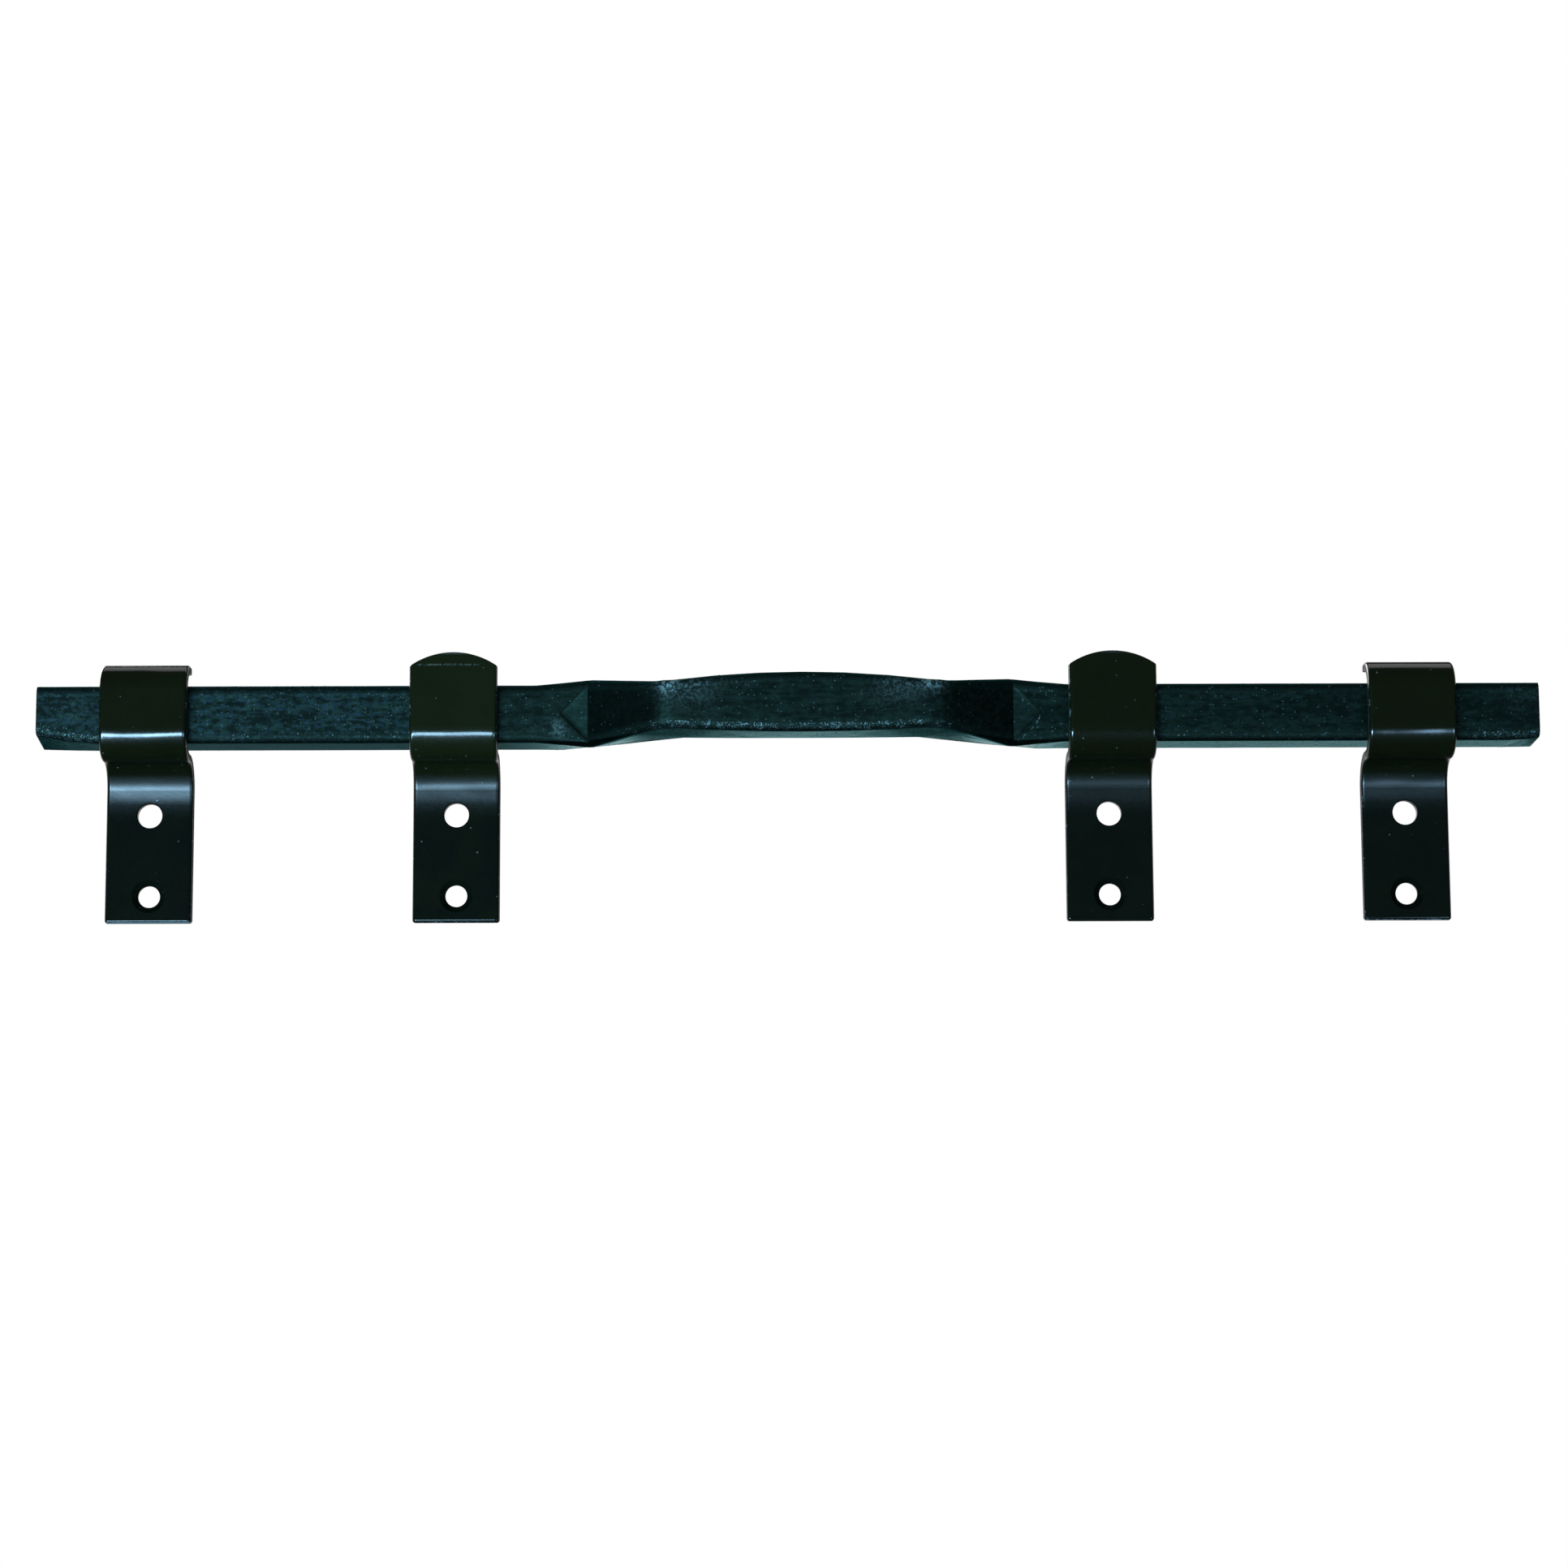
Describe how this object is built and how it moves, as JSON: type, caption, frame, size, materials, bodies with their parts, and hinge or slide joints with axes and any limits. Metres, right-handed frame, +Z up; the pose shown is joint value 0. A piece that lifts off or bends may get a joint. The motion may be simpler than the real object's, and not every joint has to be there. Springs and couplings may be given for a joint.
{
  "type": "shutter security bar",
  "caption": "Square tube bar with a forward-pressed grip, held across shutters by bent flat-steel straps, the outer ones curled over it and the inner ones open.",
  "frame": {"origin": "on the shutters' face, midway between the upper screw holes of the two inner straps", "axes": "+X along the bar to the right as seen from the room, +Y into the shutters, +Z up"},
  "size_m": [0.5144, 0.0444, 0.0906],
  "materials": {
    "bar_finish": "satin blue-black coat on steel tube, worn on its edges",
    "strap_finish": "semi-gloss black coat on flat steel"
  },
  "bodies": {
    "straps": {"left_outer_strap": "strap_finish", "left_inner_strap": "strap_finish", "right_inner_strap": "strap_finish", "right_outer_strap": "strap_finish"},
    "bar": {"bar": "bar_finish"}
  },
  "joints": [
    {"name": "bar_slide", "type": "slide", "parent": "straps", "child": "bar", "axis": [1, 0, 0], "range_m": [-0.015, 0.005]}
  ]
}
